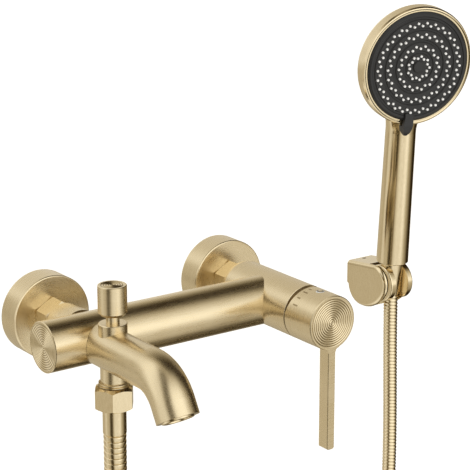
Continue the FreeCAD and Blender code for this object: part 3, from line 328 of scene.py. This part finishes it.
def brushed_body():
    """Mixer body: the grain runs along the bar, and round the valve housing."""
    def grain(tree):
        along = stretched(tree, at_rest(tree), LINE_GRAIN["X"])
        around = stretched(tree, turned(tree, (INLET_X, 0, 0), "Y", HOUSING_R), TURN_GRAIN)
        parts = node(tree, "ShaderNodeSeparateXYZ")
        tree.links.new(at_rest(tree), parts.inputs[0])
        on_housing = ranged(tree, parts.outputs[0], 0, 1, INLET_X - HOUSING_R - 0.001, INLET_X - HOUSING_R)
        return blended(tree, on_housing, along, around)
    return brushed("brushed gold body", grain)


def satin(name, colors=(GOLD_SHADE, GOLD), roughness=(0.16, 0.21), depth=0.000003):
    """Smoother plated metal with only a faint grain."""
    made, tree, shader = new_material(name, metallic=1.0)
    grain = stretched(tree, at_rest(tree), (700, 700, 260))
    finish_metal(tree, shader, grain, 30.0, colors, roughness, depth)
    return made


def moulded(name, dark, light, roughness, depth=0.00003):
    """Plastic, rubber or ceramic: a fine surface grain and a slight change of tone."""
    made, tree, shader = new_material(name)
    fine = noise(tree, at_rest(tree), scale=1400.0, rough=0.7)
    cloud = noise(tree, at_rest(tree), scale=60.0)
    tree.links.new(blended(tree, ranged(tree, cloud, 0, 1), dark, light), shader.inputs["Base Color"])
    tree.links.new(ranged(tree, fine, *roughness), shader.inputs["Roughness"])
    bumped(tree, shader, fine, depth)
    return made


def marked_button():
    """Index button: a gold centre in a dark ring that is painted shade of a recess, and a white rim."""
    made, tree, shader = new_material("index button", roughness=0.25)
    parts = node(tree, "ShaderNodeSeparateXYZ")
    tree.links.new(turned(tree, (INLET_X, BUTTON_Y, 0), "Z", 0.001), parts.inputs[0])
    off_centre = parts.outputs[2]
    soft = 0.0001
    in_ring = ranged(tree, off_centre, 1, 0, BUTTON_RING_R - soft, BUTTON_RING_R + soft)
    in_centre = ranged(tree, off_centre, 1, 0, BUTTON_CENTRE_R - soft, BUTTON_CENTRE_R + soft)
    # the dark ring is painted shade of a recess round the centre
    ringed = blended(tree, in_ring, (0.90, 0.90, 0.88), (0.02, 0.018, 0.015))
    tree.links.new(blended(tree, in_centre, ringed, GOLD), shader.inputs["Base Color"])
    tree.links.new(in_centre, shader.inputs["Metallic"])
    return made


def woven(name):
    """Strap cloth: two crossing sets of ribs."""
    made, tree, shader = new_material(name, roughness=0.9, Sheen_Weight=0.4)
    ribs = []
    for direction in ("X", "Z"):
        wave = node(tree, "ShaderNodeTexWave", bands_direction=direction)
        wave.inputs["Scale"].default_value = 320.0
        wave.inputs["Distortion"].default_value = 0.6
        tree.links.new(at_rest(tree), wave.inputs["Vector"])
        ribs.append(wave.outputs["Fac"])
    height = math_node(tree, "MULTIPLY", *ribs)
    color = blended(tree, height, (0.012, 0.012, 0.013), (0.045, 0.045, 0.048))
    tree.links.new(color, shader.inputs["Base Color"])
    bumped(tree, shader, height, 0.0002)
    return made


def make_materials():
    brass = ((0.56, 0.40, 0.17), (0.66, 0.50, 0.24))
    steel = ((0.42, 0.42, 0.42), (0.60, 0.60, 0.59))
    dark = ((0.03, 0.028, 0.025), (0.05, 0.047, 0.042))
    # collar colours are painted shadow: the dome collar is darkened to show as the shadowed gap between
    # housing and handle
    collar = (0.10, 0.07, 0.035)
    left, right = (-INLET_X, 0, 0), (INLET_X, 0, 0)
    upright = (-INLET_X, DIVERTER_Y, 0)
    bar = (0, BAR_Y, 0)
    return {
        "body": brushed_body(),
        # end cap, handle and knob: painted shade at the bottom of their turned grooves
        "cap_end": brushed_turn("brushed gold end cap", bar, "X", 0.012, grooves=(bar, "X", *CAP_FACE)),
        "left_plate": brushed_turn("brushed gold left plate", left, "Y", 0.02),
        "right_plate": brushed_turn("brushed gold right plate", right, "Y", 0.02),
        "left_nut": brushed_turn("brushed gold left nut", left, "Y", 0.014),
        "right_nut": brushed_turn("brushed gold right nut", right, "Y", 0.014),
        "handle": brushed_turn("brushed gold handle", right, "Y", 0.014, grooves=(right, "Y", *HANDLE_FACE)),
        "spout": brushed_line("brushed gold spout", "Y"),
        "knob": brushed_turn("brushed gold knob", upright, "Z", 0.0098, grooves=(upright, "Z", *KNOB_FACE)),
        "fitting": satin("satin gold fittings"),
        "hose": satin("satin gold hose", roughness=(0.2, 0.3)),
        "shower": satin("satin gold plating", roughness=(0.13, 0.17), depth=0.0000015),
        "brass": brushed_line("turned brass", "Y", colors=brass, roughness=(0.24, 0.38)),
        "collar": brushed_turn("collar painted as gap shadow", right, "Y", 0.017, colors=(collar, PAINTED_SHADE_BROWN)),
        "steel": brushed_line("stainless steel", "Z", colors=steel, roughness=(0.24, 0.36), depth=0.00003),
        "rubber": moulded("black rubber", (0.012, 0.012, 0.012), (0.022, 0.022, 0.022), (0.55, 0.75)),
        "ceramic": moulded("lapped ceramic", (0.78, 0.75, 0.68), (0.86, 0.83, 0.77), (0.12, 0.22),
                           depth=0.000005),
        "cartridge": moulded("cartridge plastic", (0.62, 0.62, 0.60), (0.70, 0.70, 0.68), (0.38, 0.52)),
        "black": moulded("matt black plastic", (0.010, 0.010, 0.010), (0.016, 0.016, 0.016), (0.42, 0.56)),
        "white": moulded("white plastic", (0.76, 0.76, 0.74), (0.84, 0.84, 0.82), (0.35, 0.5)),
        "nozzle": moulded("white silicone", (0.93, 0.93, 0.92), (0.97, 0.97, 0.96), (0.3, 0.45)),
        "strap": woven("strap cloth"),
        "index": marked_button(),
        "dark_steel": brushed_line("blackened steel", "Z", colors=dark, roughness=(0.3, 0.4), depth=0.00001),
        "mark": brushed_line("engraved marks", "Y", colors=((0.32, 0.24, 0.13), (0.42, 0.33, 0.19))),
    }


MATERIAL_OF = {
    "body": ["mixer_body"],
    "cap_end": ["end_cap"],
    "left_plate": ["left_escutcheon"],
    "right_plate": ["right_escutcheon"],
    "left_nut": ["left_union_nut"],
    "right_nut": ["right_union_nut"],
    "handle": ["handle"],
    "spout": ["spout_body"],
    "knob": ["diverter_knob", "diverter_stem", "diverter_bush"],
    "fitting": ["hose_nut", "hose_ferrule", "conical_nut", "aerator_housing"],
    "hose": ["hose_left_leg", "hose_coil", "hose_right_leg"],
    "shower": ["shower_body", "bracket_base", "cradle"],
    "collar": ["dome_collar"],
    "brass": ["left_wall_union", "right_wall_union", "inlet_tailpieces", "retaining_nut", "stem_lever",
              "spout_nipple"],
    "steel": ["inlet_filters", "stem_pin", "handle_grub_screw", "diverter_spring", "bracket_plate",
              "bracket_wall_screws", "cradle_pins"],
    "dark_steel": ["bracket_lock_screw"],
    "index": ["index_button"],
    "rubber": ["end_cap_oring", "inlet_washers", "cartridge_seals", "spout_oring", "aerator_washer",
               "diverter_oring", "diverter_washer", "hose_washer", "shower_washer"],
    "ceramic": ["fixed_ceramic_disc", "moving_ceramic_disc"],
    "cartridge": ["cartridge_base", "disc_carrier", "cartridge_housing", "spindle_carrier", "aerator_screen"],
    "black": ["spray_face", "centre_disc"],
    "white": ["waterway_tube", "spray_chamber", "cradle_washers"],
    "nozzle": ["nozzle_mat"],
    "strap": ["coil_ties"],
}


def paint(obj, material):
    obj.data.materials.clear()
    obj.data.materials.append(material)


# ---- mesh helpers ------------------------------------------------------------------
def add_piece(name, mesh, material, body, smooth=True):
    mesh.materials.append(material)
    for face in mesh.polygons:
        face.use_smooth = smooth
    piece = bpy.data.objects.new(name, mesh)
    bpy.context.collection.objects.link(piece)
    if body:
        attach(piece, body)
    return piece


def add_skin(points, faces, rings, first_cap=True):
    """Joins rings of points, all with the same count, into a skin closed at its ends."""
    count = len(rings[0])
    start = len(points)
    for one in rings:
        points += one
    for i in range(len(rings) - 1):
        low, high = start + i * count, start + (i + 1) * count
        for j in range(count):
            k = (j + 1) % count
            faces.append((low + j, low + k, high + k, high + j))
    if first_cap:
        faces.append(tuple(range(start + count - 1, start - 1, -1)))
    faces.append(tuple(range(len(points) - count, len(points))))


def mesh_of(name, points, faces):
    mesh = bpy.data.meshes.new(name)
    mesh.from_pydata(points, [], faces)
    return mesh


def tube_mesh(name, rings):
    points, faces = [], []
    add_skin(points, faces, rings)
    return mesh_of(name, points, faces)


def lathe(profile, place, segments):
    """Rings of points for a profile of (radius, height), moved by a matrix."""
    angles = [2 * math.pi * i / segments for i in range(segments)]
    rings = []
    for radius, height in profile:
        rings.append([place @ Vector((radius * math.cos(a), radius * math.sin(a), height)) for a in angles])
    return rings


# ---- hose ------------------------------------------------------------------------
def coil_points():
    x, z = COIL_CENTRE
    steps = int((COIL_EXIT - COIL_ENTRY) / COIL_STEP)
    points = []
    for i in range(steps + 1):
        angle = COIL_ENTRY + COIL_STEP * i
        y = COIL_FIRST_Y + COIL_PITCH * (angle - COIL_ENTRY) / 360
        a = math.radians(angle)
        points.append((x + COIL_R * math.cos(a), y, z + COIL_R * math.sin(a)))
    return points


def smooth_line(points, resolution):
    """The points of a NURBS line with these control points."""
    curve = bpy.data.curves.new("hose route", "CURVE")
    curve.dimensions = "3D"
    spline = curve.splines.new("NURBS")
    spline.points.add(len(points) - 1)
    for target, point in zip(spline.points, points):
        target.co = (*point, 1.0)
    spline.order_u = 3
    spline.use_endpoint_u = True
    curve.resolution_u = resolution
    holder = bpy.data.objects.new("hose route", curve)
    bpy.context.collection.objects.link(holder)
    mesh = bpy.data.meshes.new_from_object(holder)
    line = [v.co.copy() for v in mesh.vertices]
    bpy.data.meshes.remove(mesh)
    bpy.data.objects.remove(holder)
    bpy.data.curves.remove(curve)
    return line


def spaced(line, step):
    """Walks along a line of points in equal steps."""
    out = [line[0]]
    need = step
    for a, b in zip(line, line[1:]):
        length = (b - a).length
        at = 0.0
        while length - at >= need:
            at += need
            out.append(a.lerp(b, at / length))
            need = step
        need -= length - at
    return out


def make_hose(material):
    """Spiral metal hose: its ribs wind round it like a screw thread."""
    route = LEFT_ROUTE + coil_points() + RIGHT_ROUTE
    per_rib = len(RIB_SHAPE)
    around = 18
    line = spaced(smooth_line(route, 24), RIB_PITCH / per_rib)
    heading = (line[1] - line[0]).normalized()
    side = heading.orthogonal().normalized()
    rings = []
    for i, point in enumerate(line):
        ahead = (line[min(i + 1, len(line) - 1)] - line[max(i - 1, 0)]).normalized()
        side = heading.rotation_difference(ahead) @ side
        heading = ahead
        up = heading.cross(side)
        one = []
        for j in range(around):
            turn = i / per_rib + j / around
            spot = (turn % 1.0) * per_rib
            low, share = int(spot) % per_rib, spot % 1.0
            rise = RIB_SHAPE[low] * (1 - share) + RIB_SHAPE[(low + 1) % per_rib] * share
            radius = HOSE_D / 2 - RIB_DEPTH * (1 - rise)
            a = 2 * math.pi * j / around
            one.append(point + (side * math.cos(a) + up * math.sin(a)) * radius)
        rings.append(one)
    hose = add_piece("shower_hose", tube_mesh("shower_hose", rings), material, None)
    # start and end lie on a slanting line, so that the other leg, at the mixer, is before the start
    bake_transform(hose)
    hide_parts("hose_left_leg", "hose_coil", "hose_right_leg")
    return hose, line[::per_rib]


# ---- diverter spring ---------------------------------------------------------------
def make_spring(material):
    """The CAD spring wound again, because it has to be pressed together as the stem rises."""
    length = SPRING_TOP - SPRING_BOTTOM
    low = SPRING_BOTTOM + SPRING_WIRE + SPRING_GAP
    rise = length - 2 * SPRING_WIRE - 2 * SPRING_GAP
    per_turn = 32
    around = 10
    steps = SPRING_TURNS * per_turn
    rings = []
    for i in range(steps + 1):
        a = 2 * math.pi * i / per_turn
        out = Vector((math.cos(a), math.sin(a), 0))
        middle = Vector((-INLET_X, DIVERTER_Y, low + rise * i / steps)) + out * SPRING_R
        one = []
        for j in range(around):
            b = 2 * math.pi * j / around
            one.append(middle + (out * math.cos(b) + Vector((0, 0, math.sin(b)))) * SPRING_WIRE)
        rings.append(one)
    spring = add_piece("wound_spring", tube_mesh("wound_spring", rings), material, "mixer")
    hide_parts("diverter_spring")
    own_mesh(spring)


# ---- straps round the spare turns ----------------------------------------------------
def around_turns(distance, span, radius):
    """A place on a loop round two ends that are span apart.

    Gives its depth past the first end, its height, and the direction that points out of the loop.
    """
    bend = math.pi * radius
    distance %= 2 * (span + bend)
    side = 1 if distance < span + bend else -1
    distance %= span + bend
    if distance < span:
        depth, turn = distance, 0.0
    else:
        depth, turn = span, (distance - span) / radius
    depth, height = depth + radius * math.sin(turn), radius * math.cos(turn)
    outward = (math.sin(turn), math.cos(turn))
    if side < 0:
        return span - depth, -height, (-outward[0], -outward[1])
    return depth, height, outward


def tie_rings(angle):
    """Sections of a flat strap that follows the turns at this angle and laps over its own start."""
    first = angle if angle >= COIL_ENTRY else angle + 360
    turns = int((COIL_EXIT - first) / 360)
    near = COIL_FIRST_Y + COIL_PITCH * (first - COIL_ENTRY) / 360
    span = COIL_PITCH * turns
    # the smooth hose runs a little inside its guiding points
    coil_r = COIL_R * math.cos(math.radians(COIL_STEP / 2))
    radius = HOSE_D / 2 + TIE_GAP
    loop = 2 * (span + math.pi * radius)
    start = span * 0.3
    across = [-1, -0.94, -0.5, 0, 0.5, 0.94, 1]
    section = [(w, 0.9 if abs(w) == 1 else 1.0) for w in across]
    section += [(w, 0.1 if abs(w) == 1 else 0.0) for w in reversed(across)]
    steps = 120
    rings = []
    for i in range(steps + 1):
        run = (loop + TIE_LAP) * i / steps
        depth, height, outward = around_turns(start + run, span, radius)
        ramp = min(max((run - loop + TIE_RISE) / TIE_RISE, 0), 1)
        lift = (TIE_THICKNESS + TIE_CLEARANCE) * ramp * ramp * (3 - 2 * ramp)
        one = []
        for w, h in section:
            out = h * TIE_THICKNESS + lift
            aside = w * TIE_WIDTH / 2 / coil_r
            a = math.radians(angle) + aside
            r = coil_r + height + outward[1] * out
            y = near + depth + outward[0] * out + COIL_PITCH * aside / (2 * math.pi)
            one.append(Vector((COIL_CENTRE[0] + r * math.cos(a), y, COIL_CENTRE[1] + r * math.sin(a))))
        rings.append(one)
    return rings


def make_ties(material):
    """Two woven straps in place of the CAD bands, close round the turns."""
    ties = []
    for name, angle in TIE_ANGLES.items():
        ties.append(add_piece(name, tube_mesh(name, tie_rings(angle)), material, "mixer"))
    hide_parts("coil_ties")
    return ties


# ---- hand shower details -------------------------------------------------------------
def shower_frame():
    lean = Quaternion((1, 0, 0), SHOWER_LEAN)
    twist = Quaternion((0, 0, 1), SHOWER_TWIST)
    return Matrix.Translation(SHOWER_FOOT) @ (lean @ twist).to_matrix().to_4x4()


def head_frame():
    """Z points backwards along the head's axis, Y points down the handle."""
    tilt = Matrix.Rotation(HEAD_TILT, 4, "X")
    backwards = Matrix.Rotation(math.radians(-90), 4, "X")
    return shower_frame() @ Matrix.Translation(HEAD_CENTRE) @ tilt @ backwards


def nozzle_places():
    """Four zigzag rings; each has two rows a little apart."""
    places = []
    for outer, inner, count in NOZZLE_RINGS:
        for i in range(2 * count):
            radius = outer if i % 2 == 0 else inner
            places.append((radius, math.pi * i / count))
    return places


def make_nozzles(material):
    """Soft nozzle tips, each with its jet hole."""
    points, faces = [], []
    for radius, angle in nozzle_places():
        foot = SPRAY_FACE if radius > CENTRE_DISC_R else CENTRE_DISC
        x, y = radius * math.cos(angle), radius * math.sin(angle) + NOZZLE_DROP
        place = head_frame() @ Matrix.Translation((x, y, foot))
        add_skin(points, faces, lathe(NOZZLE_PROFILE, place, 10), first_cap=False)
    mesh = mesh_of("nozzle_tips", points, faces)
    return add_piece("nozzle_tips", mesh, material, "spray_selector")


# ---- temperature marks on the handle's cap --------------------------------------------
def make_marks(material):
    """Short darkened bars on the cap, a hair proud of it."""
    points, faces = [], []
    for i, angle in enumerate(MARK_ANGLES):
        middle = math.radians(angle)
        half = MARK_WIDTH / 2 / HOUSING_R
        length = MARK_LENGTH if i % 2 else MARK_LENGTH * MARK_SHORT
        start = len(points)
        for y in (MARK_BACK, MARK_BACK - length):
            for radius in (HOUSING_R - 0.0003, HOUSING_R + 0.00004):
                for a in (middle - half, middle + half):
                    points.append((INLET_X + radius * math.cos(a), y, radius * math.sin(a)))
        for corners in ((0, 1, 3, 2), (4, 6, 7, 5), (0, 4, 5, 1), (2, 3, 7, 6), (0, 2, 6, 4), (1, 5, 7, 3)):
            faces.append([start + c for c in corners])
    mesh = mesh_of("temperature_marks", points, faces)
    return add_piece("temperature_marks", mesh, material, "handle_lever", smooth=False)


# ---- studio ----------------------------------------------------------------------
def make_camera():
    data = bpy.data.cameras.new("camera")
    data.lens = CAMERA_LENS
    data.sensor_width = 36.0
    data.clip_start = 0.02
    camera = bpy.data.objects.new("camera", data)
    camera.location = CAMERA_PLACE
    camera.rotation_euler = (math.pi / 2 + CAMERA_PITCH, 0, -CAMERA_YAW)
    bpy.context.collection.objects.link(camera)
    bpy.context.scene.camera = camera


def color_ramp(tree, value, stops):
    ramp = node(tree, "ShaderNodeValToRGB")
    tree.links.new(value, ramp.inputs[0])
    elements = ramp.color_ramp.elements
    while len(elements) < len(stops):
        elements.new(0.5)
    for element, (place, color) in zip(elements, stops):
        element.position = place
        element.color = (*color, 1)
    return ramp.outputs[0]


def stripe(tree, x, y, heading, inner, outer):
    """1 on an upright stripe of the room at this heading, 0 away from it."""
    cos, sin = math.cos(math.radians(heading)), math.sin(math.radians(heading))
    across = math_node(tree, "SUBTRACT", math_node(tree, "MULTIPLY", x, sin),
                       math_node(tree, "MULTIPLY", y, cos))
    ahead = math_node(tree, "ADD", math_node(tree, "MULTIPLY", x, cos),
                      math_node(tree, "MULTIPLY", y, sin))
    near = ranged(tree, math_node(tree, "ABSOLUTE", across), 1, 0, inner, outer, "SMOOTHSTEP")
    return math_node(tree, "MULTIPLY", near, ranged(tree, ahead, 0, 1, 0.0, 0.3))


def towards(tree, heading, middle, outer, inner):
    """1 round a direction of the room, 0 away from it; its edges are cosines."""
    made = node(tree, "ShaderNodeVectorMath", operation="DOT_PRODUCT")
    tree.links.new(heading, made.inputs[0])
    made.inputs[1].default_value = middle
    return ranged(tree, made.outputs["Value"], 0, 1, outer, inner, "SMOOTHSTEP")


def dimmed(tree, light, where, share):
    """Takes a share of the light away where a stripe is."""
    kept = math_node(tree, "SUBTRACT", 1.0, math_node(tree, "MULTIPLY", where, share))
    return math_node(tree, "MULTIPLY", light, kept)


def room_light(tree):
    """Brightness of the room in each direction: pale walls, bright screens and dark parts."""
    heading = node(tree, "ShaderNodeTexCoord").outputs["Generated"]
    parts = node(tree, "ShaderNodeSeparateXYZ")
    tree.links.new(heading, parts.inputs[0])
    x, y, z = parts.outputs
    off_arch = math_node(tree, "ABSOLUTE", math_node(tree, "SUBTRACT", y, ARCH_Y))
    arch = ranged(tree, off_arch, 0, 1, 0.15, 0.95, "SMOOTHSTEP")
    arch = math_node(tree, "MAXIMUM", arch, ranged(tree, x, 1, 0, -0.35, 0.25))
    high = ranged(tree, z, 0.62, 1.0, -0.22, 0.02, "SMOOTHSTEP")
    low = ranged(tree, z, 0.85, 0.0, -0.65, -0.3)
    light = math_node(tree, "MULTIPLY", arch, math_node(tree, "MAXIMUM", high, low))
    light = dimmed(tree, light, towards(tree, heading, SHADE, 0.92, 0.985), 0.45)
    side = math_node(tree, "MULTIPLY", stripe(tree, x, y, SIDE_HEADING, 0.08, 0.32), 0.22)
    front = math_node(tree, "MULTIPLY", stripe(tree, x, y, FRONT_HEADING, 0.32, 0.72), 0.36)
    window = math_node(tree, "MULTIPLY", towards(tree, heading, WINDOW, 0.86, 0.96), 0.36)
    light = math_node(tree, "ADD", light, math_node(tree, "ADD", side, math_node(tree, "ADD", front, window)))
    light = dimmed(tree, light, stripe(tree, x, y, GAP_HEADING, 0.10, 0.38), 0.93)
    return math_node(tree, "DIVIDE", light, ROOM_PEAK)


def make_world():
    """White to the camera; reflections see the room."""
    world = bpy.data.worlds.new("studio")
    bpy.context.scene.world = world
    world.use_nodes = True
    tree = world.node_tree
    around = tree.nodes["Background"]
    tree.links.new(color_ramp(tree, room_light(tree), ROOM), around.inputs["Color"])
    plain = node(tree, "ShaderNodeBackground")
    plain.inputs["Color"].default_value = (1, 1, 1, 1)
    chosen = node(tree, "ShaderNodeMixShader")
    tree.links.new(node(tree, "ShaderNodeLightPath").outputs["Is Camera Ray"], chosen.inputs[0])
    tree.links.new(around.outputs[0], chosen.inputs[1])
    tree.links.new(plain.outputs[0], chosen.inputs[2])
    tree.links.new(chosen.outputs[0], tree.nodes["World Output"].inputs["Surface"])


def make_floor():
    made, tree, shader = new_material("pale floor", roughness=0.8)
    shader.inputs["Emission Color"].default_value = (1, 1, 1, 1)
    shader.inputs["Emission Strength"].default_value = 0.6
    grain = noise(tree, at_rest(tree), scale=40.0)
    tree.links.new(blended(tree, grain, (0.88, 0.88, 0.88), (0.9, 0.9, 0.9)), shader.inputs["Base Color"])
    reach = 12.0
    corners = [(-reach, -reach), (reach, -reach), (reach, reach), (-reach, reach)]
    mesh = mesh_of("floor", [(x, y, FLOOR_Z) for x, y in corners], [(0, 1, 2, 3)])
    floor = bpy.data.objects.new("floor", mesh)
    bpy.context.collection.objects.link(floor)
    paint(floor, made)
    floor.visible_glossy = False


# ---- the scene ---------------------------------------------------------------------
bpy.context.scene.view_settings.view_transform = "Standard"
make_camera()
make_world()
make_floor()

materials = make_materials()
for name, nodes in MATERIAL_OF.items():
    for one in nodes:
        paint(NODES[one], materials[name])

hose, hose_path = make_hose(materials["hose"])
ties = make_ties(materials["strap"])
make_spring(materials["steel"])
make_nozzles(materials["nozzle"])
make_marks(materials["mark"])
